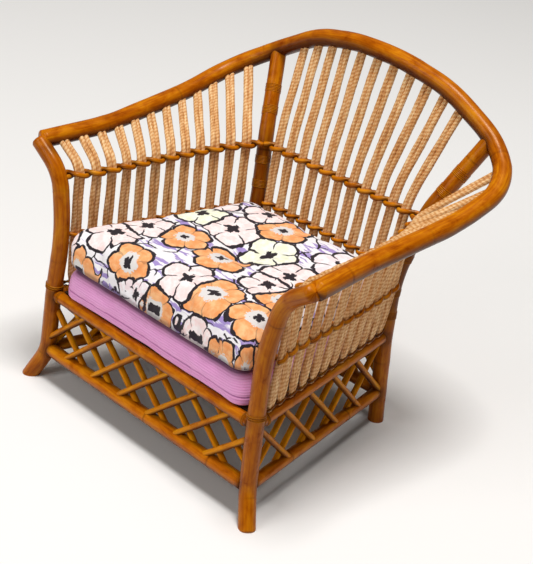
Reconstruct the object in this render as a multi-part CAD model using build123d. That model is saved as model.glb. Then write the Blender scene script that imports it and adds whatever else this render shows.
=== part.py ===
from build123d import *
import os
import math

# Rattan armchair for a dolls house, 1:12 scale. Millimetres, +Z up.
# The chair faces -Y, and +X is the sitter's left. It stands on z = 0 and is
# centred on the middle of its own plan box.

# ---------------------------------------------------------------- dimensions
POLE_R = 1.65            # bent poles: posts and legs
TOP_R = 1.60             # top rail
RAIL_R = 1.15            # straight seat rails
FOOT_R = 1.35            # foot rails, a little stouter
STICK_R = 0.55           # lattice sticks
CANE_R = 0.41            # upright canes of the back and arms
CANE_PAIR = 0.48         # half the spacing of the two canes of a pair
STRAND_R = 0.33          # strands of the twined bands
STRAND_OFF = 0.75        # strand axis to cane axis

SEAT_RAIL_Z = 19.5       # axis of the seat rails
FOOT_RAIL_Z = 6.8        # axis of the foot rails
FRONT_HALF = 29.5        # front posts, half spacing at the seat rail
FRONT_Y = -22.4
REAR_HALF = 20.6         # rear legs, half spacing at the seat rail
REAR_Y = 22.7

# both kinds of leg run a little below z = 0 and are cut flat there
# front post, from the foot that splays out and forward to the flared top
FRONT_POST = [(33.35, -25.16, -1.45), (29.9, -22.75, 6.2), (29.45, -22.35, 20.5),
              (28.7, -21.5, 33.0), (31.2, -20.9, 45.1), (38.1, -21.4, 49.9)]
FRONT_POST_BENDS = [9, 60, 42, 9]
# rear leg and back post, one bent pole that rakes back and outwards
BACK_POST = [(21.65, 23.12, -1.2), (20.6, 22.7, 19.0), (19.7, 23.8, 32.0),
             (22.6, 27.1, 47.0)]
BACK_POST_TOP_X = 28.9   # where it meets the top rail
BACK_POST_BENDS = [60, 34, 26]
# top rail, from the front post round the arm to the middle of the crest
TOP_RAIL = [(37.6, -20.0, 49.7), (36.3, -6.0, 50.4), (37.5, 16.0, 53.2),
            (37.4, 29.2, 57.0), (30.6, 35.3, 61.9), (17.2, 34.4, 69.2), (5.5, 33.2, 71.6)]
TOP_RAIL_BENDS = [44, 60, 13, 16, 30, 30]

# middle twined band of an arm, between the front post and the back post
ARM_BAND = [(31.3, -20.3, 44.4), (28.7, -14.5, 44.5), (27.6, 1.0, 44.6),
            (25.6, 15.5, 44.9), (21.9, 25.2, 45.5)]
ARM_BAND_BENDS = [9, 60, 30]
BACK_BAND_Z = 45.5       # middle twined band of the back
BACK_BAND_Y = (26.0, 26.3)      # at the posts, at the middle
ARM_LOW_Z = 31.8         # low twined bands, near the top of the cushion
BACK_LOW_Z = 33.4
KNEE_ARM, KNEE_ARM_R = 1.4, 4.4     # bend of the arm canes above the middle band
KNEE_BACK, KNEE_BACK_R = 3.0, 34.0

ARM_PAIRS = 12
BACK_PAIRS = 11

FRONT_CROSSINGS, FRONT_PITCH, FRONT_RUN = 7, 8.35, 14.8
SIDE_CROSSINGS, SIDE_PITCH, SIDE_RUN = 5, 8.4, 12.8
BACK_CROSSINGS, BACK_PITCH, BACK_RUN = 5, 8.2, 14.2

DECK_TOP = 20.4
DECK_T = 1.2
BASE_Z = (20.75, 27.5)    # thin base cushion
SEAT_Z = (27.7, 35.9)    # seat cushion

# ------------------------------------------------------------------- helpers
V = Vector


def mirror_x(p):
    return (-p[0], p[1], p[2])


def bent_path(points, radii):
    return FilletPolyline(*points, radius=radii)


def tube(path, r):
    wire = Wire(path.edges())
    start = Plane(origin=wire @ 0, z_dir=wire % 0)
    return sweep(start * Circle(r), path=wire).solid()


def rod(a, b, r):
    a, b = V(*a), V(*b)
    return Solid.make_cylinder(r, (b - a).length, Plane(origin=a, z_dir=(b - a).normalized()))


def toward(a, b, d):
    """point a moved by d towards b"""
    a, b = V(*a), V(*b)
    return a + (b - a).normalized() * d


def flip(solids):
    return [s.mirror(Plane.YZ) for s in solids]


def both(name, solids):
    nodes[name + "_left"] = solids
    nodes[name + "_right"] = flip(solids)


nodes = {}

# --------------------------------------------------------------- bent poles
rail_points = TOP_RAIL + [mirror_x(p) for p in reversed(TOP_RAIL)]
rail_bends = TOP_RAIL_BENDS + list(reversed(TOP_RAIL_BENDS))
rail_path = bent_path(rail_points, rail_bends)
nodes["top_rail"] = [tube(rail_path, TOP_R)]

front_path = bent_path(FRONT_POST, FRONT_POST_BENDS)
front_post = tube(front_path, POLE_R)
tip = front_post.edges().filter_by(GeomType.CIRCLE).sort_by(Axis.Z)[-1]
front_post = front_post.fillet(1.0, [tip])


def cut_foot(solid, x, y):
    return solid.cut(Solid.make_box(12, 12, 6, Plane(origin=(x - 6, y - 6, -6)))).solid()


both("front_post", [cut_foot(front_post, FRONT_POST[0][0], FRONT_POST[0][1])])

rail_wire = Wire(rail_path.edges())
meet = next(rail_wire @ (k / 4000) for k in range(2001)
            if (rail_wire @ (k / 4000)).X < BACK_POST_TOP_X and (rail_wire @ (k / 4000)).Y > 20)
back_top = meet - (meet - V(*BACK_POST[-1])).normalized() * 0.5
back_path = bent_path(BACK_POST + [tuple(back_top)], BACK_POST_BENDS)
both("back_post", [cut_foot(tube(back_path, POLE_R), BACK_POST[0][0], BACK_POST[0][1])])

# cane wrapping on the raked part of each back post, and the tie at each front post
def t_at_z(path, z):
    lo, hi = 0.0, 1.0
    for _ in range(40):
        m = (lo + hi) / 2
        if (path @ m).Z < z:
            lo = m
        else:
            hi = m
    return lo


back_wire = back_path.wire()
front_wire = front_path.wire()
arm_top_z = []
wraps = []
for z in (23.5, 28.5, 36.0, 41.0, 50.5, 54.5):
    t = t_at_z(back_wire, z)
    t2 = t_at_z(back_wire, z + 1.6)
    a, b = back_wire @ t, back_wire @ t2
    pl = Plane(origin=a, z_dir=(b - a).normalized())
    h = (b - a).length
    wraps.append(Solid.make_cylinder(POLE_R + 0.3, h, pl).cut(Solid.make_cylinder(POLE_R + 0.015, h, pl)))
both("back_post_wrap", [w.solid() if hasattr(w, "solid") else w for w in wraps])

t = t_at_z(front_wire, SEAT_RAIL_Z + 1.3)
t2 = t_at_z(front_wire, SEAT_RAIL_Z + 2.3)
a, b = front_wire @ t, front_wire @ t2
pl = Plane(origin=a, z_dir=(b - a).normalized())
ring = Solid.make_cylinder(POLE_R + 0.25, (b - a).length, pl).cut(Solid.make_cylinder(POLE_R, (b - a).length, pl))
both("front_post_tie", [ring])

# ------------------------------------------------------------ straight rails
for name, z, rail_r in (("seat_rail", SEAT_RAIL_Z, RAIL_R), ("foot_rail", FOOT_RAIL_Z, FOOT_R)):
    f = front_wire @ t_at_z(front_wire, z)
    r = back_wire @ t_at_z(back_wire, z)
    fr, rr = (f.X, f.Y, z), (r.X, r.Y, z)
    inset = POLE_R - 0.25
    nodes[name + "_front"] = [rod((fr[0] - inset, fr[1], z), (-fr[0] + inset, fr[1], z), rail_r)]
    nodes[name + "_back"] = [rod((rr[0] - inset, rr[1], z), (-rr[0] + inset, rr[1], z), rail_r)]
    side = rod(toward(fr, rr, inset), toward(rr, fr, inset), rail_r)
    both(name + "_side", [side])
    if name == "seat_rail":
        SF, SR = fr, rr
    else:
        LF, LR = fr, rr

# ------------------------------------------------------------------- lattice


def lattice(top_a, top_b, low_a, low_b, crossings, pitch, run, lean, out):
    """two crossing layers of sticks between two rails; run is how far each stick leans over
    sideways, lean which way the outer layer goes, out the outward side; sticks that would
    pass a corner post end in it"""
    ta, tb, la, lb = V(*top_a), V(*top_b), V(*low_a), V(*low_b)
    mid_t, mid_l = (ta + tb) / 2, (la + lb) / 2
    dt, dl = (tb - ta).normalized(), (lb - la).normalized()
    limit = (tb - ta).length / 2 - 0.75
    o = V(*out)

    def stick(c, side, shift):
        s0, s1 = c - side * run / 2, c + side * run / 2
        a = mid_t + dt * s0 + o * shift
        b = mid_l + dl * s1 + o * shift
        t0 = (abs(s0) - limit) / run if abs(s0) > limit else 0
        t1 = (abs(s1) - limit) / run if abs(s1) > limit else 0
        return rod(a + (b - a) * t0, b + (a - b) * t1, STICK_R)

    front, behind = [], []
    for k in range(crossings):
        c = (k - (crossings - 1) / 2) * pitch
        front.append(stick(c, lean, 0.56))
        behind.append(stick(c, -lean, -0.55))
    return front, behind


f, b = lattice((-SF[0], SF[1], SEAT_RAIL_Z), (SF[0], SF[1], SEAT_RAIL_Z),
               (-LF[0], LF[1], FOOT_RAIL_Z), (LF[0], LF[1], FOOT_RAIL_Z),
               FRONT_CROSSINGS, FRONT_PITCH, FRONT_RUN, -1, (0, -1, 0))
nodes["lattice_front_outer"], nodes["lattice_front_inner"] = f, b
f, b = lattice((SR[0], SR[1], SEAT_RAIL_Z), (-SR[0], SR[1], SEAT_RAIL_Z),
               (LR[0], LR[1], FOOT_RAIL_Z), (-LR[0], LR[1], FOOT_RAIL_Z),
               BACK_CROSSINGS, BACK_PITCH, BACK_RUN, -1, (0, 1, 0))
nodes["lattice_back_outer"], nodes["lattice_back_inner"] = f, b
side_dir = (V(*SR) - V(*SF)).normalized()
side_out = V(side_dir.Y, -side_dir.X, 0).normalized()
f, b = lattice(SF, SR, LF, LR, SIDE_CROSSINGS, SIDE_PITCH, SIDE_RUN, 1, side_out)
both("lattice_side_outer", f)
both("lattice_side_inner", b)

# ------------------------------------------------- upright canes of the panels
arm_band = bent_path(ARM_BAND, ARM_BAND_BENDS).wire()


def rail_t(test):
    """parameter on the +X half of the top rail where test(point) first holds"""
    for k in range(0, 2001):
        t = k / 4000
        if test(rail_wire @ t):
            return t
    return 0.5


T_ARM0 = rail_t(lambda p: p.Y > -16.6)
T_ARM1 = rail_t(lambda p: p.X < 34.6 and p.Y > 20)
T_POST = rail_t(lambda p: p.X < 29.0 and p.Y > 20)
T_BACK = rail_t(lambda p: p.X < 21.2 and p.Y > 20)

arm_pairs = []
for i in range(ARM_PAIRS):
    u = i / (ARM_PAIRS - 1)
    low = V(*SF) + (V(*SR) - V(*SF)) * (0.085 + 0.84 * u)
    low = V(low.X, low.Y, SEAT_RAIL_Z)
    tm = 0.075 + 0.85 * u
    tt = T_ARM0 + (T_ARM1 - T_ARM0) * u
    arm_pairs.append((low, arm_band @ tm, rail_wire @ tt, side_dir, arm_band % tm, rail_wire % tt,
                      KNEE_ARM, KNEE_ARM_R))

post_b = back_wire @ t_at_z(back_wire, BACK_BAND_Z)
back_arc = ThreePointArc((post_b.X, BACK_BAND_Y[0], BACK_BAND_Z), (0, BACK_BAND_Y[1], BACK_BAND_Z),
                         (-post_b.X, BACK_BAND_Y[0], BACK_BAND_Z))
back_pairs = []
for i in range(BACK_PAIRS):
    u = i / (BACK_PAIRS - 1)
    low = V((1 - 2 * u) * 16.6, SR[1], SEAT_RAIL_Z)
    tm = 0.5 + (u - 0.5) * 0.80
    tt = T_BACK + (1 - 2 * T_BACK) * u
    back_pairs.append((low, back_arc @ tm, rail_wire @ tt, V(-1, 0, 0), back_arc % tm, rail_wire % tt,
                       KNEE_BACK, KNEE_BACK_R))


def cane_path(a, m, b, knee, radius):
    k = m + (m - a).normalized() * knee
    return FilletPolyline(a, k, b, radius=radius)


def canes(pairs):
    out = []
    for low, mid, top, dl, dm, dt, knee, radius in pairs:
        for s in (-1, 1):
            m = mid + dm * (s * CANE_PAIR)
            a = low + dl * (s * CANE_PAIR)
            b = top + dt * (s * CANE_PAIR)
            k = m + (m - a).normalized() * knee
            a = a + (m - a).normalized() * (RAIL_R - 0.45)
            b = b + (k - b).normalized() * (TOP_R - 0.45)
            out.append(tube(cane_path(a, m, b, knee, radius), CANE_R))
    return out


both("canes_arm", canes(arm_pairs))
nodes["canes_back"] = canes(back_pairs)

# --------------------------------------------------------------- twined bands


def band(points, radii):
    """outer and inner strand along a run of points, each offset in plan"""
    out = []
    for s in (-1, 1):
        moved = []
        for k, p in enumerate(points):
            p = V(*p)
            a = V(*points[max(k - 1, 0)])
            b = V(*points[min(k + 1, len(points) - 1)])
            d = (p - a).normalized() + (b - p).normalized() if 0 < k < len(points) - 1 else (b - a)
            n = V(d.Y, -d.X, 0).normalized()
            # at a corner the mitre is longer than the offset
            if 0 < k < len(points) - 1:
                e1, e2 = (p - a), (b - p)
                c = V(e1.X, e1.Y, 0).normalized().dot(V(e2.X, e2.Y, 0).normalized())
                half = math.sqrt(max((1 + c) / 2, 0.2))
            else:
                half = 1.0
            moved.append((p + n * (s * STRAND_OFF / half)))
        rr = [max(r + s * STRAND_OFF * 0.0, 1.0) for r in radii]
        out.append(tube(bent_path(moved, rr), STRAND_R))
    return out


both("band_arm_middle", band(ARM_BAND, ARM_BAND_BENDS))


def back_band(z, y_post, y_mid, x_post):
    out = []
    for s in (-1, 1):
        arc = ThreePointArc((x_post, y_post + s * STRAND_OFF, z), (0, y_mid + s * STRAND_OFF, z),
                            (-x_post, y_post + s * STRAND_OFF, z))
        out.append(tube(arc, STRAND_R))
    return out


nodes["band_back_middle"] = back_band(BACK_BAND_Z, BACK_BAND_Y[0], BACK_BAND_Y[1], post_b.X - 1.2)


def cane_at_z(pair, z):
    """point on the straight lower part of a pair's centre line"""
    low, mid = pair[0], pair[1]
    return low + (mid - low) * ((z - low.Z) / (mid.Z - low.Z))


def arm_row(z, extra_front, extra_back):
    """two straight-running strands along one arm at a height below the middle band"""
    pts = [cane_at_z(arm_pairs[k], z) for k in (0, 3, 7, 11)]
    pts[0] = pts[0] + (pts[0] - pts[1]).normalized() * extra_front
    pts[-1] = pts[-1] + (pts[-1] - pts[-2]).normalized() * extra_back
    return band([tuple(p) for p in pts], [80, 80])


post_l = back_wire @ t_at_z(back_wire, BACK_LOW_Z)
nodes["band_back_low"] = back_band(BACK_LOW_Z, cane_at_z(back_pairs[0], BACK_LOW_Z).Y,
                                   cane_at_z(back_pairs[5], BACK_LOW_Z).Y + 0.01, post_l.X - 1.2)
both("band_arm_low", arm_row(ARM_LOW_Z, 1.6, 2.0))

# rows that close the feet of the canes on the seat rails
ROW_Z = SEAT_RAIL_Z + 2.0
both("band_arm_foot", arm_row(ROW_Z, 2.0, 1.9))
nodes["band_back_foot"] = back_band(ROW_Z, cane_at_z(back_pairs[0], ROW_Z).Y,
                                    cane_at_z(back_pairs[5], ROW_Z).Y + 0.01, REAR_HALF - 1.2)

# --------------------------------------------------------- deck and cushions


def slab(front_half, front_y, rear_half, rear_y, z0, z1, corner):
    outline = Polyline((-front_half, front_y), (front_half, front_y), (rear_half, rear_y),
                       (-rear_half, rear_y), close=True)
    face = make_face(outline)
    body = extrude(Pos(0, 0, z0) * face, z1 - z0).solid()
    if corner:
        body = body.fillet(corner, body.edges().filter_by(Axis.Z))
    return body


nodes["seat_deck"] = [slab(SF[0] - 1.9, SF[1] + 1.25, SR[0] - 1.9, SR[1] - 1.25, DECK_TOP - DECK_T, DECK_TOP, 0)]
base = slab(26.9, -23.1, 18.9, 20.6, BASE_Z[0], BASE_Z[1], 2.0)
base = base.fillet(0.9, base.edges().group_by(Axis.Z)[-1])
nodes["base_cushion"] = [base]
seat = slab(26.7, -23.3, 18.8, 20.8, SEAT_Z[0], SEAT_Z[1], 3.0)
seat = seat.fillet(2.4, seat.edges().group_by(Axis.Z)[-1])
nodes["seat_cushion"] = [seat]

# -------------------------------------------------------------------- export
whole = Compound(children=[s.moved(Location((0, 0, 0))) for group in nodes.values() for s in group])
box = whole.bounding_box()
shift = Location((0, -(box.min.Y + box.max.Y) / 2, -box.min.Z))
os.makedirs("parts", exist_ok=True)
for name, solids in nodes.items():
    moved = [s.moved(shift) for s in solids]
    export_step(moved[0] if len(moved) == 1 else Compound(children=moved), "parts/" + name + ".step")

print("size", box.max.X - box.min.X, box.max.Y - box.min.Y, box.max.Z - box.min.Z)
print("shift", shift.position)
print("nodes", len(nodes), "solids", sum(len(g) for g in nodes.values()))
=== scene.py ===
import bpy
import math
import numpy as np
from mathutils import Matrix, Vector
from mathutils.kdtree import KDTree


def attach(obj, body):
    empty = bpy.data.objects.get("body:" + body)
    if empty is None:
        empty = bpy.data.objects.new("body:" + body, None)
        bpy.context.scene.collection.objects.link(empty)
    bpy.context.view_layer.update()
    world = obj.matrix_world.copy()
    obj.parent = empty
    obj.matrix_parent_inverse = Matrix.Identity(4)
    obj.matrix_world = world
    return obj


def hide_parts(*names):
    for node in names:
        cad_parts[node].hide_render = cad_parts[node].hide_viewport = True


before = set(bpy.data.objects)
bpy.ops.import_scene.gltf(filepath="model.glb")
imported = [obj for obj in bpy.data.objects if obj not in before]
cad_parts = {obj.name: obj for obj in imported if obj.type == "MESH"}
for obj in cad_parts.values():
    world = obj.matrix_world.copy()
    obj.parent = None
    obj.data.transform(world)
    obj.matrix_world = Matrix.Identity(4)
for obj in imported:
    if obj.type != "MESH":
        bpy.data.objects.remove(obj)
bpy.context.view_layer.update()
RNG = np.random.default_rng(20611)

# ------------------------------------------------------------------ dimensions
# millimetres, in the chair's construction frame; YS moves it to the row frame
YS = -5.07608
POLE_R, TOP_R, RAIL_R, FOOT_R, STICK_R = 1.65, 1.84, 1.18, 1.42, 0.64
CANE_R, CANE_PAIR, STRAND_R, STRAND_OFF = 0.56, 0.52, 0.52, 0.94
SEAT_RAIL_Z, FOOT_RAIL_Z = 19.5, 6.8
REAR_HALF = 20.6
FRONT_POST = [(33.35, -25.16, -1.45), (29.9, -22.75, 6.2), (29.45, -22.35, 20.5),
              (28.7, -21.5, 33.0), (31.2, -20.9, 45.1), (38.1, -21.4, 49.9)]
FRONT_POST_BENDS = [9, 60, 42, 9]
BACK_POST = [(21.65, 23.12, -1.2), (20.6, 22.7, 19.0), (19.7, 23.8, 32.0), (22.6, 27.1, 47.0)]
BACK_POST_TOP_X = 28.9
BACK_POST_BENDS = [60, 34, 26]
TOP_RAIL = [(37.6, -20.0, 49.7), (36.3, -6.0, 50.4), (37.5, 16.0, 53.2),
            (37.4, 29.2, 57.0), (30.6, 35.3, 61.9), (17.2, 34.4, 69.2), (5.5, 33.2, 71.6)]
TOP_RAIL_BENDS = [44, 60, 13, 16, 30, 30]
ARM_BAND = [(31.3, -20.3, 44.4), (28.7, -14.5, 44.5), (27.6, 1.0, 44.6),
            (25.6, 15.5, 44.9), (21.9, 25.2, 45.5)]
ARM_BAND_BENDS = [9, 60, 30]
BACK_BAND_Z, BACK_BAND_Y = 45.5, (26.0, 26.3)
ARM_LOW_Z, BACK_LOW_Z, ROW_Z = 31.8, 33.4, SEAT_RAIL_Z + 2.0
KNEE_ARM, KNEE_ARM_R, KNEE_BACK, KNEE_BACK_R = 1.4, 4.4, 3.0, 34.0
ARM_PAIRS, BACK_PAIRS = 12, 11
FRONT_CROSSINGS, FRONT_PITCH, FRONT_RUN = 7, 8.35, 14.8
SIDE_CROSSINGS, SIDE_PITCH, SIDE_RUN = 5, 8.4, 12.8
BACK_CROSSINGS, BACK_PITCH, BACK_RUN = 5, 8.2, 14.2


def arr(*p):
    return np.array(p, float)


def unit(v):
    v = np.asarray(v, float)
    return v / max(np.linalg.norm(v), 1e-12)


def smooth01(x):
    x = np.clip(x, 0, 1)
    return x * x * (3 - 2 * x)


# ------------------------------------------------------------------- curves
class Path:
    """a polyline known by its length"""

    def __init__(self, pts):
        pts = np.asarray(pts, float)
        seg = np.linalg.norm(np.diff(pts, axis=0), axis=1)
        keep = np.concatenate([[True], seg > 1e-7])
        self.p = pts[keep]
        seg = np.linalg.norm(np.diff(self.p, axis=0), axis=1)
        self.s = np.concatenate([[0], np.cumsum(seg)])
        self.length = self.s[-1]

    def at_s(self, s):
        s = np.asarray(s, float)
        out = np.stack([np.interp(s, self.s, self.p[:, k]) for k in range(3)], -1)
        return out

    def at(self, t):
        return self.at_s(np.asarray(t) * self.length)

    def tan(self, t):
        e = 0.02
        s = np.asarray(t) * self.length
        return unit(self.at_s(min(s + e, self.length)) - self.at_s(max(s - e, 0)))

    def sample(self, step):
        n = max(2, int(round(self.length / step)) + 1)
        return self.at_s(np.linspace(0, self.length, n))

    def t_at_z(self, z):
        lo, hi = 0.0, 1.0
        for _ in range(40):
            m = (lo + hi) / 2
            if self.at(m)[2] < z:
                lo = m
            else:
                hi = m
        return lo

    def nearest_s(self, p):
        q = self.sample(0.05)
        k = np.argmin(np.linalg.norm(q - p, axis=1))
        return k * self.length / (len(q) - 1)


def fillet(points, radii, step=0.12):
    P = [np.array(p, float) for p in points]
    if np.isscalar(radii):
        radii = [radii] * (len(P) - 2)
    out = [P[0]]
    for i in range(1, len(P) - 1):
        d1, d2 = unit(P[i] - P[i - 1]), unit(P[i + 1] - P[i])
        th = math.acos(max(-1, min(1, float(d1 @ d2))))
        if th < 1e-4:
            out.append(P[i])
            continue
        R = radii[i - 1]
        t = R * math.tan(th / 2)
        s = P[i] - d1 * t
        c = P[i] + unit(d2 - d1) * (R / math.cos(th / 2))
        e1 = (s - c) / R
        n = max(3, int(R * th / step) + 1)
        for k in range(n + 1):
            ph = th * k / n
            out.append(c + R * (e1 * math.cos(ph) + d1 * math.sin(ph)))
    out.append(P[-1])
    return Path(out)


def softened(P, sigma_pts):
    """the samples with their corners eased, ends kept"""
    n = int(sigma_pts * 3)
    if n < 1:
        return P
    k = np.exp(-0.5 * (np.arange(-n, n + 1) / sigma_pts) ** 2)
    k /= k.sum()
    pad = np.concatenate([2 * P[:1] - P[n:0:-1], P, 2 * P[-1:] - P[-2:-n - 2:-1]])
    return np.stack([np.convolve(pad[:, j], k, "valid") for j in range(3)], -1)


def frames_of(P):
    T = np.gradient(P, axis=0)
    T /= np.linalg.norm(T, axis=1)[:, None]
    N = np.zeros_like(P)
    a = np.cross(T[0], arr(0, 0, 1))
    if np.linalg.norm(a) < 0.2:
        a = np.cross(T[0], arr(0, 1, 0))
    N[0] = unit(a)
    for i in range(1, len(P)):
        v = N[i - 1] - T[i] * (N[i - 1] @ T[i])
        N[i] = v / np.linalg.norm(v)
    return T, N, np.cross(T, N)


# ------------------------------------------------------------ mesh building
class Build:
    """several closed strands of one piece, with the coordinates that its material reads"""

    def __init__(self):
        self.v, self.quads, self.caps, self.grain, self.tone = [], [], [], [], []
        self.n = 0

    def grid(self, V, grain, tone, cap=(True, True)):
        """V is rings x sides x 3, each ring closed"""
        m, k = V.shape[:2]
        base = self.n
        i = np.arange(m - 1)[:, None] * k
        j = np.arange(k)[None, :]
        a, b = base + i + j, base + i + (j + 1) % k
        self.quads.append(np.stack([a, b, b + k, a + k], -1).reshape(-1, 4))
        if cap[0]:
            self.caps.append(list(range(base + k - 1, base - 1, -1)))
        if cap[1]:
            self.caps.append(list(range(base + (m - 1) * k, base + m * k)))
        self.v.append(V.reshape(-1, 3))
        self.grain.append(np.broadcast_to(grain, (m, k, 3)).reshape(-1, 3))
        self.tone.append(np.broadcast_to(tone, (m, k)).reshape(-1))
        self.n += m * k

    def tube(self, P, r, sides=16, shape=None, ends=(0.0, 0.0), tone=0.0, seed=None, phase=0.0, underside_shade=0.0,
             from_up=0.8):
        """r is a number or one per sample; shape(s, angle) multiplies it; ends round off that length"""
        seed = RNG.uniform(0, 400) if seed is None else seed
        T, N, B = frames_of(P)
        s = np.concatenate([[0], np.cumsum(np.linalg.norm(np.diff(P, axis=0), axis=1))])
        L = s[-1]
        r = np.broadcast_to(np.asarray(r, float), (len(P),)).copy()
        scale = np.ones(len(P))
        shift = np.zeros(len(P))
        extra = []
        for side, e in enumerate(ends):
            if e <= 0:
                continue
            d = s if side == 0 else L - s
            inside = d < e
            # the samples inside the rounded end are pulled onto a quarter ellipse
            x = np.clip(d[inside] / e, 0, 1)
            scale[inside] = np.sqrt(np.clip(1 - (1 - x) ** 2, 0.0, 1)) * 0.94 + 0.06
        ang = np.linspace(0, 2 * math.pi, sides, endpoint=False) + phase
        S, A = np.meshgrid(s, ang, indexing="ij")
        R = (r * scale)[:, None] * (shape(S, A) if shape is not None else 1.0)
        V = P[:, None] + R[..., None] * (np.cos(A)[..., None] * N[:, None] + np.sin(A)[..., None] * B[:, None])
        g = np.stack([S + seed, np.cos(A) * r[:, None], np.sin(A) * r[:, None]], -1)
        t = tone if not callable(tone) else tone(V, S, A)
        # painted shade on the undersides: the tone rises where the surface faces down
        if underside_shade:
            up = (np.cos(A)[..., None] * N[:, None] + np.sin(A)[..., None] * B[:, None])[..., 2]
            t = np.clip(t + underside_shade * smooth01((from_up - up) / (from_up + 0.55)), 0, 0.96)
        self.grid(V, g, np.broadcast_to(t, S.shape))

    def make(self, name, material, body="frame", nodes=()):
        V = (np.concatenate(self.v) + arr(0, YS, 0)) * 0.001
        Q = np.concatenate(self.quads) if self.quads else np.zeros((0, 4), int)
        loops = np.concatenate([Q.ravel()] + [np.array(c) for c in self.caps]).astype(np.int32)
        start = np.concatenate([np.arange(len(Q)) * 4,
                                len(Q) * 4 + np.concatenate([[0], np.cumsum([len(c) for c in self.caps])[:-1]])
                                if self.caps else []]).astype(np.int32)
        me = bpy.data.meshes.new(name)
        me.vertices.add(len(V))
        me.vertices.foreach_set("co", V.astype(np.float32).ravel())
        me.loops.add(len(loops))
        me.loops.foreach_set("vertex_index", loops)
        me.polygons.add(len(start))
        me.polygons.foreach_set("loop_start", start)
        me.update(calc_edges=True)
        me.polygons.foreach_set("use_smooth", np.ones(len(start), bool))
        a = me.attributes.new("grain", "FLOAT_VECTOR", "POINT")
        a.data.foreach_set("vector", np.concatenate(self.grain).astype(np.float32).ravel())
        a = me.attributes.new("tone", "FLOAT", "POINT")
        a.data.foreach_set("value", np.concatenate(self.tone).astype(np.float32))
        me.validate()
        me.update()
        o = bpy.data.objects.new(name, me)
        bpy.context.scene.collection.objects.link(o)
        me.materials.append(material)
        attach(o, body)
        if nodes:
            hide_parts(*nodes)
        return o


def mirrored(P):
    return P * arr(-1, 1, 1)


# ---------------------------------------------------------------- materials
def lin(r, g, b):
    def f(c):
        c /= 255
        return c / 12.92 if c <= 0.04045 else ((c + 0.055) / 1.055) ** 2.4
    return (f(r), f(g), f(b), 1.0)


class G:
    """a node tree in short form"""

    def __init__(self, name):
        self.m = bpy.data.materials.new(name)
        self.m.use_nodes = True
        self.t = self.m.node_tree
        self.t.nodes.clear()
        self.out = self.t.nodes.new("ShaderNodeOutputMaterial")
        self.b = self.t.nodes.new("ShaderNodeBsdfPrincipled")
        self.t.links.new(self.b.outputs[0], self.out.inputs[0])

    def put(self, socket, x):
        if isinstance(x, bpy.types.NodeSocket):
            self.t.links.new(x, socket)
        elif x is not None:
            socket.default_value = x

    def set(self, **kw):
        for k, x in kw.items():
            self.put(self.b.inputs[k.replace("_", " ")], x)
        return self.m

    def attr(self, name, out="Vector"):
        n = self.t.nodes.new("ShaderNodeAttribute")
        n.attribute_name = name
        return n.outputs[out]

    def coord(self, out="Object"):
        return self.t.nodes.new("ShaderNodeTexCoord").outputs[out]

    def math(self, op, a, b=None, c=None, clamp=False):
        n = self.t.nodes.new("ShaderNodeMath")
        n.operation = op
        n.use_clamp = clamp
        for k, x in enumerate((a, b, c)):
            if x is not None:
                self.put(n.inputs[k], x)
        return n.outputs[0]

    def vec(self, op, a, b=None, s=None):
        n = self.t.nodes.new("ShaderNodeVectorMath")
        n.operation = op
        self.put(n.inputs[0], a)
        if b is not None:
            self.put(n.inputs[1], b)
        if s is not None:
            self.put(n.inputs["Scale"], s)
        return n.outputs["Value"] if op in ("LENGTH", "DISTANCE", "DOT_PRODUCT") else n.outputs["Vector"]

    def xyz(self, v):
        n = self.t.nodes.new("ShaderNodeSeparateXYZ")
        self.put(n.inputs[0], v)
        return n.outputs[0], n.outputs[1], n.outputs[2]

    def join(self, x, y, z):
        n = self.t.nodes.new("ShaderNodeCombineXYZ")
        for k, q in enumerate((x, y, z)):
            self.put(n.inputs[k], q)
        return n.outputs[0]

    def noise(self, v, scale, detail=3.0, rough=0.5, distort=0.0, out="Fac"):
        n = self.t.nodes.new("ShaderNodeTexNoise")
        self.put(n.inputs["Vector"], v)
        n.inputs["Scale"].default_value = scale
        n.inputs["Detail"].default_value = detail
        n.inputs["Roughness"].default_value = rough
        n.inputs["Distortion"].default_value = distort
        return n.outputs[out]

    def voronoi(self, v, scale, feature="F1", randomness=1.0, dims="3D"):
        n = self.t.nodes.new("ShaderNodeTexVoronoi")
        n.voronoi_dimensions = dims
        n.feature = feature
        self.put(n.inputs["Vector"], v)
        n.inputs["Scale"].default_value = scale
        n.inputs["Randomness"].default_value = randomness
        return n

    def ramp(self, f, stops, interp="LINEAR"):
        n = self.t.nodes.new("ShaderNodeValToRGB")
        n.color_ramp.interpolation = interp
        e = n.color_ramp.elements
        while len(e) < len(stops):
            e.new(0.5)
        for k, (p, c) in enumerate(stops):
            e[k].position = p
            e[k].color = c if len(c) == 4 else (*c, 1)
        self.put(n.inputs[0], f)
        return n.outputs[0]

    def mix(self, f, a, b, blend="MIX"):
        n = self.t.nodes.new("ShaderNodeMix")
        n.data_type = "RGBA"
        n.blend_type = blend
        n.clamp_factor = True
        self.put(n.inputs[0], f)
        self.put(n.inputs[6], a)
        self.put(n.inputs[7], b)
        return n.outputs[2]

    def span(self, x, a, b, lo=0.0, hi=1.0):
        """x from a..b to lo..hi, smooth and held at the ends"""
        n = self.t.nodes.new("ShaderNodeMapRange")
        n.interpolation_type = "SMOOTHSTEP"
        self.put(n.inputs[0], x)
        for k, q in enumerate((a, b, lo, hi)):
            self.put(n.inputs[k + 1], q)
        return n.outputs[0]

    def bump(self, h, strength, distance):
        n = self.t.nodes.new("ShaderNodeBump")
        n.inputs["Strength"].default_value = strength
        n.inputs["Distance"].default_value = distance
        self.put(n.inputs["Height"], h)
        return n.outputs[0]


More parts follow.
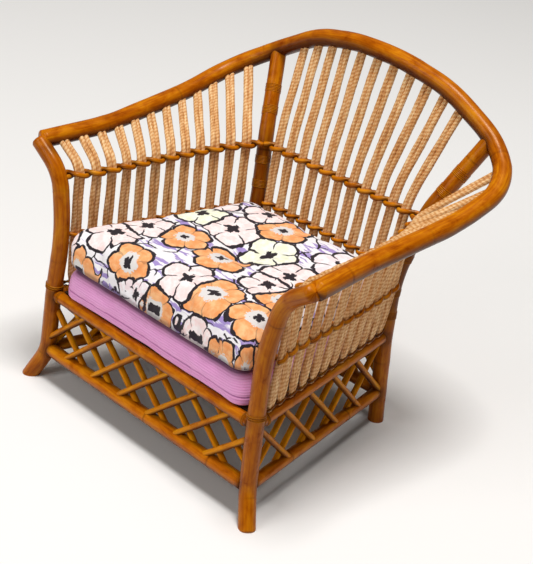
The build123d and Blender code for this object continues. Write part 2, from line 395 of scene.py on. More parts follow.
def pole_material(name, dark, mid, light, rough=0.34, fine=1.0, gloss=1.0):
    """cane pole under a satin stain and varnish; reads grain (length, across, across in mm) and tone"""
    g = G(name)
    gr = g.attr("grain")
    streak = g.noise(g.vec("MULTIPLY", gr, (0.10, 2.2 * fine, 2.2 * fine)), 1.0, 4, 0.6)
    patch = g.noise(g.vec("MULTIPLY", gr, (0.22, 0.45, 0.45)), 1.0, 3, 0.55, 0.6)
    speck = g.noise(g.vec("MULTIPLY", gr, (1.4, 2.6 * fine, 2.6 * fine)), 1.0, 3, 0.7)
    f = g.math("ADD", g.math("MULTIPLY", streak, 0.42), g.math("MULTIPLY", patch, 0.58))
    col = g.ramp(f, [(0.30, lin(*dark)), (0.50, lin(*mid)), (0.72, lin(*light))])
    col = g.mix(g.span(speck, 0.58, 0.78, 0.0, 0.30), col, lin(*dark))
    # tone darkens towards deep red-brown: growth rings, plus painted shade at joints, on undersides and low on the
    # back posts
    col = g.mix(g.attr("tone", "Fac"), col, lin(54, 8, 0))
    h = g.math("ADD", g.math("MULTIPLY", streak, 0.6), g.math("MULTIPLY", speck, 0.5))
    g.set(Base_Color=col, Roughness=g.span(patch, 0.35, 0.65, rough - 0.07, rough + 0.10),
          Specular_IOR_Level=0.20 * gloss, Specular_Tint=(1.0, 0.72, 0.34, 1.0),
          Coat_Weight=0.10 * gloss, Coat_Roughness=0.20, Coat_Tint=(1.0, 0.86, 0.6, 1.0),
          Normal=g.bump(h, 0.6, 0.00007))
    return g.m


def cane_material(name, groove, body, crest):
    g = G(name)
    gr = g.attr("grain")
    tone = g.attr("tone", "Fac")
    fibre = g.noise(g.vec("MULTIPLY", gr, (0.45, 4.2, 4.2)), 1.0, 4, 0.65)
    patch = g.noise(g.vec("MULTIPLY", gr, (0.16, 0.7, 0.7)), 1.0, 2, 0.5)
    # the ply tone adds painted highlight on crests and painted shade in grooves; the fibre noise is the cane's own
    # colour
    f = g.math("ADD", g.math("MULTIPLY", tone, 0.22), g.math("MULTIPLY", fibre, 0.92))
    f = g.math("ADD", f, g.math("MULTIPLY", g.math("SUBTRACT", patch, 0.5), 0.35))
    col = g.ramp(f, [(0.22, lin(*groove)), (0.52, lin(*body)), (0.84, lin(*crest))])
    g.set(Base_Color=col, Roughness=0.62, Specular_IOR_Level=0.35,
          Normal=g.bump(fibre, 0.7, 0.00008))
    return g.m


M_BENT = pole_material("bent_pole_varnish", (126, 46, 0), (184, 98, 0), (224, 144, 8))
M_RAIL = pole_material("straight_pole_varnish", (132, 52, 0), (188, 102, 0), (222, 144, 8))
M_STICK = pole_material("lattice_varnish", (158, 74, 0), (212, 128, 0), (240, 168, 14), fine=1.6, gloss=0.4)
M_TWINE = pole_material("band_varnish", (140, 60, 0), (206, 120, 0), (244, 174, 44), rough=0.34, fine=2.2)
M_BIND = pole_material("binding_varnish", (136, 60, 0), (184, 106, 0), (212, 138, 10), rough=0.4, fine=2.5)
M_CANE = cane_material("fibrous_cane", (120, 56, 14), (206, 144, 80), (250, 218, 166))

# ------------------------------------------------------------------ bent poles
rail_points = TOP_RAIL + [(-p[0], p[1], p[2]) for p in reversed(TOP_RAIL)]
rail = fillet(rail_points, TOP_RAIL_BENDS + TOP_RAIL_BENDS[::-1])
front = fillet(FRONT_POST, FRONT_POST_BENDS)
ks = np.arange(2001) / 4000
pts = rail.at(ks)
meet = pts[np.argmax((pts[:, 0] < BACK_POST_TOP_X) & (pts[:, 1] > 20))]
back_top = meet - unit(meet - arr(*BACK_POST[-1])) * 0.5
back = fillet(BACK_POST + [tuple(back_top)], BACK_POST_BENDS)


def knots(length, gap, seed):
    r = np.random.default_rng(seed)
    out, s = [], r.uniform(0.3, 0.8) * gap
    while s < length - 3:
        out.append(s)
        s += gap * r.uniform(0.75, 1.3)
    return out


def pole_shape(places, seed):
    """slight swellings at the growth rings, and a hand-bent unevenness"""
    r = np.random.default_rng(seed)
    waves = [(r.uniform(0.12, 0.5), r.uniform(0, 6.28), r.integers(0, 3), r.uniform(0, 6.28)) for _ in range(5)]

    def shape(S, A):
        out = np.ones_like(S)
        for w, p, k, q in waves:
            out += 0.006 * np.sin(S * w * 2 + p) * np.cos(A * k + q)
        for s0 in places:
            d = S - s0 - 0.10 * np.cos(A + s0)
            out += 0.020 * np.exp(-(d / 0.75) ** 2) - 0.024 * np.exp(-((d - 0.05) / 0.13) ** 2)
        return out

    def tone(V, S, A):
        t = np.zeros_like(S)
        for s0 in places:
            d = S - s0 - 0.10 * np.cos(A + s0)
            t += 0.30 * np.exp(-(d / 0.14) ** 2)
        return np.clip(t, 0, 0.8)
    return shape, tone


def joint_shade(points, reach, amount):
    """painted shade, darker where other pieces meet the pole"""
    pts = np.array(points, float)

    def tone(V):
        d = np.full(V.shape[:2], 1e9)
        for p in pts:
            d = np.minimum(d, np.linalg.norm(V - p, axis=-1))
        return amount * np.exp(-np.clip(d - 1.2, 0, None) ** 2 / reach ** 2)
    return tone


def cut_low(P):
    """keeps the samples above the ground, with one on it"""
    k = int(np.argmax(P[:, 2] > 0))
    a, b = P[k - 1], P[k]
    return k, a + (b - a) * (-a[2] / (b[2] - a[2]))


def pole(name, P, r, seed, nodes, ends, flat_foot=False, gap=19.0, joints=(), sides=28, underside_shade=0.95, shade=None):
    length = np.linalg.norm(np.diff(P, axis=0), axis=1).sum()
    shape, ring = pole_shape(knots(length, gap, seed), seed)
    near = joint_shade(joints, 1.0, 0.45) if len(joints) else None

    def tone(V, S, A):
        t = ring(V, S, A)
        if near is not None:
            t = np.maximum(t, near(V))
        if shade is not None:
            t = t + shade(V)
        return t
    b = Build()
    b.tube(P, r, sides, shape, ends, tone, seed=seed * 37.0, underside_shade=underside_shade, from_up=0.72 if underside_shade > 0.8 else 1.0)
    if flat_foot:
        # the foot is sawn level with the ground
        V = b.v[0].reshape(len(P), sides, 3)
        T = unit(P[1] - P[0])
        low = V[..., 2] < 0.0
        V[low] = V[low] - T * (V[low][:, 2:3] / T[2])
        edge = np.abs(V[..., 2]) < 1e-9
        b.v[0] = V.reshape(-1, 3)
    return b.make(name, M_BENT, nodes=nodes)


SFt, SRt = front.at(front.t_at_z(SEAT_RAIL_Z)), back.at(back.t_at_z(SEAT_RAIL_Z))
LFt, LRt = front.at(front.t_at_z(FOOT_RAIL_Z)), back.at(back.t_at_z(FOOT_RAIL_Z))
SF, SR = arr(SFt[0], SFt[1], SEAT_RAIL_Z), arr(SRt[0], SRt[1], SEAT_RAIL_Z)
LF, LR = arr(LFt[0], LFt[1], FOOT_RAIL_Z), arr(LRt[0], LRt[1], FOOT_RAIL_Z)

railP = softened(rail.sample(0.40), 2.2)
d0 = unit(railP[0] - railP[3])
railP = np.concatenate([[railP[0] + d0 * 1.0, railP[0] + d0 * 0.5], railP,
                        mirrored(np.array([railP[0] + d0 * 0.5, railP[0] + d0 * 1.0]))])
pole("top_rail_pole", railP, TOP_R, 3, ["top_rail"], (0.25, 0.25), gap=24,
     joints=[arr(34.5, -21, 47.6), arr(-34.5, -21, 47.6), back_top, mirrored(back_top)])


def foot_start(path):
    """samples from the ground up; the first lies a little below, and is cut level"""
    P = softened(path.sample(0.35), 2.0)
    k = int(np.argmax(P[:, 2] > -0.25))
    return P[max(k - 1, 0):]


for side in ("left", "right"):
    m = (lambda q: q) if side == "left" else mirrored
    P = m(foot_start(front))
    js = [m(SF + arr(-1.6, 0, 0)), m(SF + unit(SR - SF) * 1.6), m(LF + arr(-1.6, 0, 0)),
          m(LF + unit(LR - LF) * 1.6), m(arr(34.8, -20.2, 48.6))]
    pole("front_post_pole_" + side, P, POLE_R, 11 if side == "left" else 12, ["front_post_" + side],
         (0.0, 0.7), True, 17, js, underside_shade=0.42)
    P = m(foot_start(back))
    js = [m(SR + arr(-1.6, 0, 0)), m(SR + unit(SF - SR) * 1.6), m(LR + arr(-1.6, 0, 0)),
          m(LR + unit(LF - LR) * 1.6), m(meet)]
    # the back posts get painted shade, darker towards the seat, where they stand in shadow
    pole("back_post_pole_" + side, P, POLE_R, 21 if side == "left" else 22, ["back_post_" + side],
         (0.0, 0.0), True, 21, js, underside_shade=0.42,
         shade=lambda V: 0.45 * smooth01((56 - V[..., 2]) / 14) * smooth01((V[..., 2] - 18) / 10))

# ------------------------------------------------------------- straight rails


def stick(b, a, c, r, sides=14, ends=(0.0, 0.0), seed=0, wob=0.012, bow=0.0, rings=(), step=0.5, phase=0.0, underside_shade=0.8):
    n = max(8, int(np.linalg.norm(c - a) / step))
    t = np.linspace(0, 1, n)
    # more samples inside the rounded ends
    L = np.linalg.norm(c - a)
    if ends[0] > 0 or ends[1] > 0:
        e = max(ends) / L
        x = np.array([0, 0.08, 0.25, 0.5, 0.75, 1.0]) * e
        t = np.unique(np.concatenate([x, 1 - x, t[(t > e * 1.05) & (t < 1 - e * 1.05)]]))
    P = a + (c - a) * t[:, None]
    rr = np.random.default_rng(seed)
    if bow:
        side_v = unit(np.cross(c - a, rr.normal(size=3)))
        P = P + side_v * (bow * np.sin(math.pi * t))[:, None]
    w = [(rr.uniform(0.3, 1.2), rr.uniform(0, 6.28), rr.integers(0, 3), rr.uniform(0, 6.28)) for _ in range(4)]

    def shape(S, A):
        o = np.ones_like(S)
        for q, p, k, z in w:
            o += wob * np.sin(S * q + p) * np.cos(A * k + z)
        for s0 in rings:
            o += 0.05 * np.exp(-((S - s0) / 0.5) ** 2) - 0.06 * np.exp(-((S - s0) / 0.12) ** 2)
        return o
    tn = rr.uniform(0.0, 0.12)

    def tone(V, S, A):
        o = np.full(S.shape, tn)
        for s0 in rings:
            o += 0.5 * np.exp(-((S - s0) / 0.15) ** 2)
        # both ends darker, where the piece meets other parts: painted shade
        return np.clip(o + 0.5 * np.exp(-(S / 0.8) ** 2) + 0.5 * np.exp(-((L - S) / 0.8) ** 2), 0, 0.8)
    b.tube(P, r, sides, shape, ends, tone, seed=seed * 13.7, phase=phase, underside_shade=underside_shade, from_up=0.12)


def toward(a, b, d):
    return a + unit(b - a) * d


k = 30
for name, A0, B0 in (("seat_rail", SF, SR), ("foot_rail", LF, LR)):
    inset = POLE_R - 0.25
    rad = RAIL_R if name == "seat_rail" else FOOT_R
    rows = [("front", arr(A0[0] - inset, A0[1], A0[2]), arr(-A0[0] + inset, A0[1], A0[2])),
            ("back", arr(B0[0] - inset, B0[1], B0[2]), arr(-B0[0] + inset, B0[1], B0[2])),
            ("side_left", toward(A0, B0, inset), toward(B0, A0, inset)),
            ("side_right", mirrored(toward(A0, B0, inset)), mirrored(toward(B0, A0, inset)))]
    for part, a, c in rows:
        k += 1
        b = Build()
        L = np.linalg.norm(c - a)
        if name == "foot_rail" and part.startswith("side"):
            rad = 1.22
        stick(b, a, c, rad, 20, seed=k, wob=0.010, rings=knots(L, 18, k), step=0.35)
        b.make("%s_%s_pole" % (name, part), M_RAIL, nodes=["%s_%s" % (name, part)])


# -------------------------------------------------------------------- lattice
def lattice(ta, tb, la, lb, crossings, pitch, run, lean, out):
    mt, ml = (ta + tb) / 2, (la + lb) / 2
    dt, dl = unit(tb - ta), unit(lb - la)
    limit = np.linalg.norm(tb - ta) / 2 - 0.75

    def rod(c, side, shift):
        s0, s1 = c - side * run / 2, c + side * run / 2
        a, b2 = mt + dt * s0 + out * shift, ml + dl * s1 + out * shift
        t0, t1 = max(0, (abs(s0) - limit) / run), max(0, (abs(s1) - limit) / run)
        return a + (b2 - a) * t0, b2 + (a - b2) * t1
    at = [(q - (crossings - 1) / 2) * pitch for q in range(crossings)]
    return [rod(c, lean, 0.40) for c in at], [rod(c, -lean, -0.52) for c in at]


def lattice_piece(name, node, rods, seed):
    b = Build()
    for q, (a, c) in enumerate(rods):
        d = unit(c - a)
        rr = np.random.default_rng(seed * 50 + q)
        a = a + d * rr.uniform(-0.25, 0.25)
        c = c + d * rr.uniform(-0.25, 0.25)
        stick(b, a, c, STICK_R * rr.uniform(0.95, 1.04), 12, ends=(0.3, 0.3), seed=seed * 50 + q, wob=0.03, bow=rr.uniform(0, 0.10), step=0.5, underside_shade=0.85)
    b.make(name, M_STICK, nodes=[node])


sd = unit(SR - SF)
so = unit(arr(sd[1], -sd[0], 0))
mx = arr(-1, 1, 1)
f, bk = lattice(SF * mx, SF, LF * mx, LF, FRONT_CROSSINGS, FRONT_PITCH, FRONT_RUN, -1, arr(0, -1, 0))
lattice_piece("lattice_front_outer_sticks", "lattice_front_outer", f, 1)
lattice_piece("lattice_front_inner_sticks", "lattice_front_inner", bk, 2)
f, bk = lattice(SR, SR * mx, LR, LR * mx, BACK_CROSSINGS, BACK_PITCH, BACK_RUN, -1, arr(0, 1, 0))
lattice_piece("lattice_back_outer_sticks", "lattice_back_outer", f, 3)
lattice_piece("lattice_back_inner_sticks", "lattice_back_inner", bk, 4)
f, bk = lattice(SF, SR, LF, LR, SIDE_CROSSINGS, SIDE_PITCH, SIDE_RUN, 1, so)
for side in ("left", "right"):
    m = (lambda q: q) if side == "left" else mirrored
    lattice_piece("lattice_side_outer_sticks_" + side, "lattice_side_outer_" + side, [(m(a), m(c)) for a, c in f],
                  5 if side == "left" else 6)
    lattice_piece("lattice_side_inner_sticks_" + side, "lattice_side_inner_" + side, [(m(a), m(c)) for a, c in bk],
                  7 if side == "left" else 8)

# ---------------------------------------------------------------------- canes
arm_band = fillet(ARM_BAND, ARM_BAND_BENDS)


def rail_t(test):
    for q in range(0, 2001):
        p = rail.at(q / 4000)
        if test(p):
            return q / 4000
    return 0.5


T_ARM0 = rail_t(lambda p: p[1] > -16.6)
T_ARM1 = rail_t(lambda p: p[0] < 34.6 and p[1] > 20)
T_BACK = rail_t(lambda p: p[0] < 21.2 and p[1] > 20)
arm_pairs, back_pairs = [], []
for i in range(ARM_PAIRS):
    u = i / (ARM_PAIRS - 1)
    low = SF + (SR - SF) * (0.085 + 0.84 * u)
    tm, tt = 0.075 + 0.85 * u, T_ARM0 + (T_ARM1 - T_ARM0) * u
    arm_pairs.append((low, arm_band.at(tm), rail.at(tt), sd, arm_band.tan(tm), rail.tan(tt), KNEE_ARM, KNEE_ARM_R))
post_b = back.at(back.t_at_z(BACK_BAND_Z))


def arc3(a, m, b, n=160):
    """circle arc through three points"""
    a, m, b = map(np.asarray, (a, m, b))
    u1, u2 = m - a, b - a
    nrm = np.cross(u1, u2)
    c = a + (np.cross(nrm, u1) * (u2 @ u2) + np.cross(u2, nrm) * (u1 @ u1)) / (2 * (nrm @ nrm))
    e1 = a - c
    R = np.linalg.norm(e1)
    e1 /= R
    e2 = unit(np.cross(unit(nrm), e1))
    th = math.atan2((b - c) @ e2, (b - c) @ e1) % (2 * math.pi)
    ph = np.linspace(0, th, n)
    return Path(c + R * (np.cos(ph)[:, None] * e1 + np.sin(ph)[:, None] * e2))


back_arc = arc3(arr(post_b[0], BACK_BAND_Y[0], BACK_BAND_Z), arr(0, BACK_BAND_Y[1], BACK_BAND_Z),
                arr(-post_b[0], BACK_BAND_Y[0], BACK_BAND_Z))
for i in range(BACK_PAIRS):
    u = i / (BACK_PAIRS - 1)
    low = arr((1 - 2 * u) * 16.6, SR[1], SEAT_RAIL_Z)
    tm, tt = 0.5 + (u - 0.5) * 0.80, T_BACK + (1 - 2 * T_BACK) * u
    back_pairs.append((low, back_arc.at(tm), rail.at(tt), arr(-1, 0, 0), back_arc.tan(tm), rail.tan(tt),
                       KNEE_BACK, KNEE_BACK_R))


def ply_shape(turn, hand, start, rr):
    """two plies laid together, with a loose fibrous surface"""
    w = [(rr.uniform(0.5, 7.0), rr.uniform(0, 6.28), rr.integers(1, 5), rr.uniform(0, 6.28)) for _ in range(7)]

    def shape(S, A):
        th = A - hand * S * 2 * math.pi / turn - start
        lobe = np.abs(np.cos(th))
        o = 0.945 + 0.055 * lobe ** 0.9
        for q, p, kk, z in w:
            o += 0.013 * np.sin(S * q + p) * np.cos(A * kk + z)
        return o

    def tone(V, S, A):
        th = A - hand * S * 2 * math.pi / turn - start
        # painted highlight on the ply crests and painted shade in the grooves between the plies
        return np.abs(np.cos(th)) ** 1.2
    return shape, tone


def cane_piece(name, node, pairs, m, seed):
    b = Build()
    rr = np.random.default_rng(seed)
    for low, mid, top, dl, dm, dt, knee, radius in pairs:
        for s in (-1, 1):
            mm = mid + dm * (s * CANE_PAIR)
            a = low + dl * (s * CANE_PAIR)
            t = top + dt * (s * CANE_PAIR)
            kk = mm + unit(mm - a) * knee
            a = a + unit(mm - a) * (RAIL_R - 0.45)
            t = t + unit(kk - t) * (TOP_R - 0.55)
            P = fillet([a, kk, t], radius).sample(0.21)
            P = softened(P, 3.0)
            # the two canes of a pair close up where they enter the rail
            z = smooth01((P[:, 2] - 20.6) / 3.0)
            P = P - dl * (s * (1 - z) * 0.26)[:, None]
            # and neither stands quite straight
            d = np.concatenate([[0], np.cumsum(np.linalg.norm(np.diff(P, axis=0), axis=1))])
            n1 = unit(np.cross(unit(mm - a), dl))
            P = P + dl * (0.05 * np.sin(d * rr.uniform(0.25, 0.6) + rr.uniform(0, 6.28)) * smooth01(d / 3))[:, None] \
                + n1 * (0.05 * np.sin(d * rr.uniform(0.25, 0.6) + rr.uniform(0, 6.28)) * smooth01(d / 3))[:, None]
            rad = CANE_R * rr.uniform(0.97, 1.05) * (0.58 + 0.42 * z)
            shape, tone = ply_shape(rr.uniform(1.5, 1.8), 1, rr.uniform(0, 6.28), rr)
            b.tube(m(P), rad, 12, shape, (0, 0), tone, seed=rr.uniform(0, 900))
    return b.make(name, M_CANE, nodes=[node])


cane_piece("canes_arm_cord_left", "canes_arm_left", arm_pairs, lambda q: q, 71)
cane_piece("canes_arm_cord_right", "canes_arm_right", arm_pairs, mirrored, 72)
cane_piece("canes_back_cord", "canes_back", back_pairs, lambda q: q, 73)

# --------------------------------------------------------------- twined bands


def twine(name, node, path, at, m=lambda q: q, front_off=STRAND_OFF, lift=0.34, r=STRAND_R, seed=0, start=0, dark=0.0):
    """two strands that pass before and behind each pair of canes and turn about each other between them"""
    s = np.linspace(0, path.length, int(path.length / 0.16))
    P = softened(path.at_s(s), 5)
    T = np.gradient(P, axis=0)
    T /= np.linalg.norm(T, axis=1)[:, None]
    n = np.cross(T, arr(0, 0, 1))
    n /= np.linalg.norm(n, axis=1)[:, None]
    up = np.cross(n, T)
    at = np.sort(at)
    gap = np.diff(at)
    at2 = np.concatenate([[at[0] - gap[0]], at, [at[-1] + gap[-1]]])
    ph = np.interp(s, at2, np.arange(-1, len(at) + 1) * math.pi) + start * math.pi
    b = Build()
    rr = np.random.default_rng(900 + seed)
    for sgn in (-1, 1):
        # the strand lies flat against the pair and crosses over quickly between pairs
        c, w = np.cos(ph), np.sin(ph)
        off = sgn * front_off * np.sign(c) * np.abs(c) ** 0.75
        lif = sgn * lift * w
        Q = P + n * off[:, None] + up * lif[:, None]
        Q = softened(Q, 2.0)
        waves = [(rr.uniform(0.6, 2.5), rr.uniform(0, 6.28)) for _ in range(3)]

        def shape(S, A, waves=waves):
            o = np.ones_like(S)
            for q, p in waves:
                o += 0.03 * np.sin(S * q + p + A)
            return o

        def tone(V, S, A, off=off):
            # painted shade where the strand dives between the canes, plus the extra dark amount given
            t = 1 - np.abs(off) / front_off
            return np.clip(0.06 + dark + 0.60 * smooth01(t * 1.2 - 0.10), 0, 0.9)[:, None] * np.ones_like(A)
        b.tube(m(Q), r, 9, shape, (0.1, 0.1), tone, seed=rr.uniform(0, 500), underside_shade=0.55)
    return b.make(name, M_TWINE, nodes=[node])


def cane_at_z(pair, z):
    low, mid = pair[0], pair[1]
    return low + (mid - low) * ((z - low[2]) / (mid[2] - low[2]))


def arm_row(z, e0, e1):
    p = [cane_at_z(q, z) for q in arm_pairs]
    p = [p[0] + unit(p[0] - p[1]) * e0] + p + [p[-1] + unit(p[-1] - p[-2]) * e1]
    path = Path(softened(Path(p).sample(0.2), 6))
    return path, [path.nearest_s(q) for q in p[1:-1]]


def back_row(z, half):
    p = [cane_at_z(q, z) for q in back_pairs]
    p = [arr(half, p[0][1], z)] + p + [arr(-half, p[-1][1], z)]
    path = Path(softened(Path(p).sample(0.2), 6))
    return path, [path.nearest_s(q) for q in p[1:-1]]


mid_at = (0.075 + 0.85 * np.arange(ARM_PAIRS) / (ARM_PAIRS - 1)) * arm_band.length
for side in ("left", "right"):
    m = (lambda q: q) if side == "left" else mirrored
    h = 0 if side == "left" else 5
    twine("band_arm_middle_twine_" + side, "band_arm_middle_" + side, arm_band, mid_at, m, seed=1 + h)
    path, at = arm_row(ARM_LOW_Z, 1.6, 2.0)
    twine("band_arm_low_twine_" + side, "band_arm_low_" + side, path, at, m, front_off=0.90, r=0.38, seed=2 + h, start=1)
    path, at = arm_row(ROW_Z, 2.0, 1.9)
    # the foot rows get extra painted shade (dark), so the arches below read dark
    twine("band_arm_foot_twine_" + side, "band_arm_foot_" + side, path, at, m, front_off=0.50, lift=0.20, r=0.22, seed=3 + h, dark=0.55)
bb = arc3(arr(post_b[0] - 1.2, BACK_BAND_Y[0], BACK_BAND_Z), arr(0, BACK_BAND_Y[1], BACK_BAND_Z),
          arr(-post_b[0] + 1.2, BACK_BAND_Y[0], BACK_BAND_Z))
twine("band_back_middle_twine", "band_back_middle", bb, [bb.nearest_s(p[1]) for p in back_pairs], seed=11)
post_l = back.at(back.t_at_z(BACK_LOW_Z))
path, at = back_row(BACK_LOW_Z, post_l[0] - 1.2)
twine("band_back_low_twine", "band_back_low", path, at, front_off=0.90, r=0.38, seed=12, start=1)
path, at = back_row(ROW_Z, REAR_HALF - 1.2)
twine("band_back_foot_twine", "band_back_foot", path, at, front_off=0.66, lift=0.26, r=0.27, seed=13)


# ------------------------------------------------------------ bindings and ties
def helix(path, s0, s1, turns, radius, phase=0.0):
    n = max(12, int(turns * 26))
    s = np.linspace(s0, s1, n)
    P = path.at_s(s)
    T, N, B = frames_of(P)
    a = np.linspace(0, turns * 2 * math.pi, n) + phase
    return P + radius * (np.cos(a)[:, None] * N + np.sin(a)[:, None] * B)


for side in ("left", "right"):
    m = (lambda q: q) if side == "left" else mirrored
    b = Build()
    for q, z in enumerate((23.5, 28.5, 36.0, 41.0, 50.5, 54.5)):
        s0, s1 = back.t_at_z(z) * back.length, back.t_at_z(z + 1.6) * back.length
        H = helix(back, s0, s1, 6, POLE_R - 0.02, q * 1.3)
        # wraps below z 45 are darker: painted shade, as on the lower back post
        b.tube(m(H), 0.13, 7, None, (0.1, 0.1), 0.02 if z > 45 else 0.40, seed=q * 31 + 5, underside_shade=0.3)
    b.make("back_post_binding_" + side, M_BIND, nodes=["back_post_wrap_" + side])
    b = Build()
    s0, s1 = front.t_at_z(SEAT_RAIL_Z + 1.35) * front.length, front.t_at_z(SEAT_RAIL_Z + 2.35) * front.length
    H = helix(front, s0, s1, 2.6, POLE_R + 0.05, 0.4)
    b.tube(m(H), 0.15, 8, None, (0.1, 0.1), 0.40, seed=3)
    side_path = Path(np.linspace(SF, SR, 60))
    H = helix(side_path, 2.35, 3.15, 2.2, RAIL_R + 0.05, 1.0)
    b.tube(m(H), 0.14, 8, None, (0.1, 0.1), 0.40, seed=8)
    front_path = Path(np.linspace(SF, SF * mx, 60))
    H = helix(front_path, 2.15, 2.75, 1.6, RAIL_R + 0.03, 2.0)
    b.tube(m(H), 0.13, 8, None, (0.1, 0.1), 0.35, seed=9)
    b.make("front_post_lashing_" + side, M_BIND, nodes=["front_post_tie_" + side])

# --------------------------------------------------------------------- the deck
# the deck is coloured near-black brown so that it reads as the shade under the cushion: painted shade
g = G("dark_board_as_shade")
oc = g.coord("Object")
gr = g.noise(g.vec("MULTIPLY", oc, (60, 900, 900)), 1.0, 4, 0.6)
col = g.ramp(gr, [(0.3, lin(34, 18, 8)), (0.5, lin(52, 30, 14)), (0.7, lin(68, 42, 22))])
g.set(Base_Color=col, Roughness=0.7, Normal=g.bump(gr, 0.4, 0.0001))
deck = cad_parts["seat_deck"]
for sl in deck.material_slots:
    sl.material = g.m
if not deck.material_slots:
    deck.data.materials.append(g.m)

# ------------------------------------------------------------------- cushions
S12 = 12.0     # the fabric is simulated at full size, and made small again


def trapezoid(fh, fy, rh, ry, rc, inset=0.0, n_side=40, n_corner=10):
    """rounded outline, anticlockwise from the front right corner; the same places for every inset"""
    c = [arr(-fh, fy), arr(fh, fy), arr(rh, ry), arr(-rh, ry)]
    lines = []
    for k2 in range(4):
        a, b2 = c[k2], c[(k2 + 1) % 4]
        d = unit(b2 - a)
        nrm = arr(d[1], -d[0])
        lines.append((a - nrm * inset, d))
    corner = []
    for k2 in range(4):
        (a, d), (b2, e) = lines[k2 - 1], lines[k2]
        M = np.array([d, -e]).T
        t = np.linalg.solve(M, b2 - a)
        corner.append(a + d * t[0])
    r = max(rc - inset, 0.4)
    out = []
    for k2 in range(4):
        p, q = corner[k2], corner[(k2 + 1) % 4]
        d0 = unit(p - corner[k2 - 1])
        d1 = unit(q - p)
        d2 = unit(corner[(k2 + 2) % 4] - q)
        th = math.acos(np.clip(d0 @ d1, -1, 1))
        th2 = math.acos(np.clip(d1 @ d2, -1, 1))
        t, t2 = r * math.tan(th / 2), r * math.tan(th2 / 2)
        n0 = arr(-d0[1], d0[0])
        cen = p - d0 * t + n0 * r
        for j in range(n_corner):
            a = th * (j / n_corner)
            v = (p - d0 * t) - cen
            out.append(cen + arr(v[0] * math.cos(a) - v[1] * math.sin(a), v[0] * math.sin(a) + v[1] * math.cos(a)))
        s0, s1 = p + d1 * t, q - d1 * t2
        for j in range(n_side):
            out.append(s0 + (s1 - s0) * (j / n_side))
    return np.array(out)


def slab_object(name, dims, z0, z1, rc, low, high):
    """closed block with rounded edges at full size, as the simulation's start"""
    def quarter(e):
        return [(3.0 + e, 0.0)] + [(e * (1 - math.sin(a)), e * (1 - math.cos(a))) for a in np.linspace(0, math.pi / 2, 8)]
    rings = [(i2, z0 + zz) for i2, zz in quarter(low)] + [(i2, z1 - zz) for i2, zz in reversed(quarter(high))]
    V, F = [], []
    for i2, z in rings:
        o = trapezoid(*dims, rc, i2)
        V.append(np.column_stack([o, np.full(len(o), z)]))
    n = len(V[0])
    V = np.concatenate(V)
    for q in range(len(rings) - 1):
        for j in range(n):
            F.append((q * n + j, q * n + (j + 1) % n, (q + 1) * n + (j + 1) % n, (q + 1) * n + j))
    F.append(tuple(range(n - 1, -1, -1)))
    F.append(tuple(range((len(rings) - 1) * n, len(rings) * n)))
    me = bpy.data.meshes.new(name)
    me.from_pydata((V * 0.001 * S12).tolist(), [], F)
    me.update()
    o = bpy.data.objects.new(name, me)
    bpy.context.scene.collection.objects.link(o)
    return o


def evaluated(o):
    dg = bpy.context.evaluated_depsgraph_get()
    return bpy.data.meshes.new_from_object(o.evaluated_get(dg))


def co_of(me):
    a = np.empty(len(me.vertices) * 3, np.float32)
    me.vertices.foreach_get("co", a)
    return a.reshape(-1, 3).astype(float)


def set_co(me, V):
    me.vertices.foreach_set("co", np.asarray(V, np.float32).ravel())
    me.update()


def inflate(o, voxel, pressure, cap, pins=None, shrink=0.0, frames=20, bending=0.5):
    """remesh, blow up as cloth, hold the movement to cap, and return start and end places"""
    mod = o.modifiers.new("r", "REMESH")
    mod.mode = "VOXEL"
    mod.voxel_size = voxel
    me = evaluated(o)
    o.modifiers.clear()
    o.data = me
    V0 = co_of(me)
    start = V0.copy()
    if pins is not None:
        w, V1 = pins(V0)
        set_co(me, V1)
        vg = o.vertex_groups.new(name="pin")
        for k2 in np.nonzero(w > 0.01)[0]:
            vg.add([int(k2)], float(w[k2]), "REPLACE")
        start = V1.copy()
    sc = bpy.context.scene
    sc.frame_set(1)
    c = o.modifiers.new("c", "CLOTH")
    st = c.settings
    st.quality = 5
    st.mass = 0.3
    st.tension_stiffness = st.compression_stiffness = 15
    st.shear_stiffness = 6
    st.bending_stiffness = bending
    st.use_pressure = True
    st.uniform_pressure_force = pressure
    st.shrink_min = shrink
    st.effector_weights.gravity = 0
    if pins is not None:
        st.vertex_group_mass = "pin"
    c.collision_settings.use_collision = False
    c.collision_settings.use_self_collision = False
    c.point_cache.frame_start, c.point_cache.frame_end = 1, frames
    for fno in range(1, frames + 1):
        sc.frame_set(fno)
    V = co_of(evaluated(o))
    o.modifiers.clear()
    sc.frame_set(1)
    d = V - start
    n = np.linalg.norm(d, axis=1)
    lim = cap * np.tanh(n / cap)
    V = start + d * (lim / np.maximum(n, 1e-9))[:, None]
    return start, V


def value_noise(P, scale, seed, octaves=3):
    """smooth repeatable noise about 0, from sums of sines"""
    r = np.random.default_rng(seed)
    out = np.zeros(len(P))
    amp, tot = 1.0, 0.0
    for o2 in range(octaves):
        for _ in range(5):
            k2 = r.normal(size=3)
            k2 = k2 / np.linalg.norm(k2) * scale * 2 ** o2 * r.uniform(0.7, 1.3)
            out += amp * np.sin(P @ k2 + r.uniform(0, 6.28))
            tot += amp
        amp *= 0.5
    return out / tot * 2.2


SEAT = dict(dims=(26.3, -23.1, 18.5, 20.5), z0=27.8, z1=35.0, rc=3.6, low=0.8, high=3.2)
TUFT = arr(1.0, -1.0)


